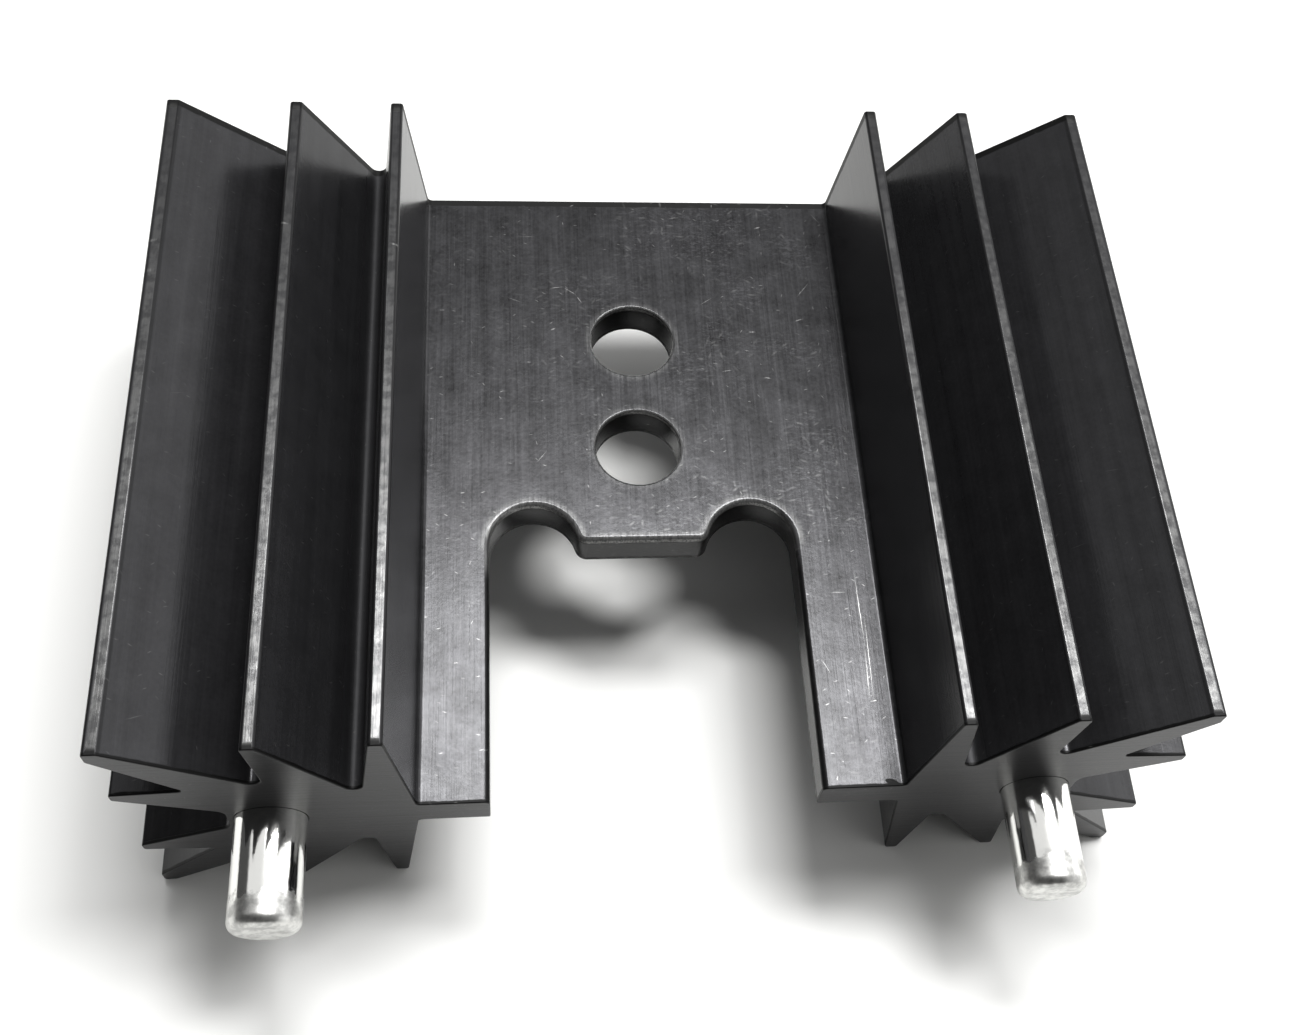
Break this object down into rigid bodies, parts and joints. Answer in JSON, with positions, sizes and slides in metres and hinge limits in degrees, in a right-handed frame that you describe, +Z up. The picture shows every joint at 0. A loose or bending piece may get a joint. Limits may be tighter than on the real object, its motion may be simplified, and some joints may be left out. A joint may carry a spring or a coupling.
{
  "type": "board mount heat sink",
  "caption": "Black extruded heat sink for a power transistor: a punched web with a lead slot and screw holes, between two finned hubs that stand on solder pins.",
  "frame": {"origin": "on the plane that the lower fin tips lie on, at the middle of the overall width and of the overall length with the pins", "axes": "+X across the web, from the left pin to the right pin; +Y along the extrusion, away from the pins and from the board; +Z up, out of the web's punched face"},
  "size_m": [0.0348, 0.0292, 0.0127],
  "materials": {
    "black_anodised_aluminium": "satin black anodised, with fine streaks along the extrusion",
    "bright_tin_plate": "bright tin plated"
  },
  "bodies": {
    "root": {"finned_body": "black_anodised_aluminium", "left_solder_pin": "bright_tin_plate", "right_solder_pin": "bright_tin_plate"}
  },
  "joints": []
}
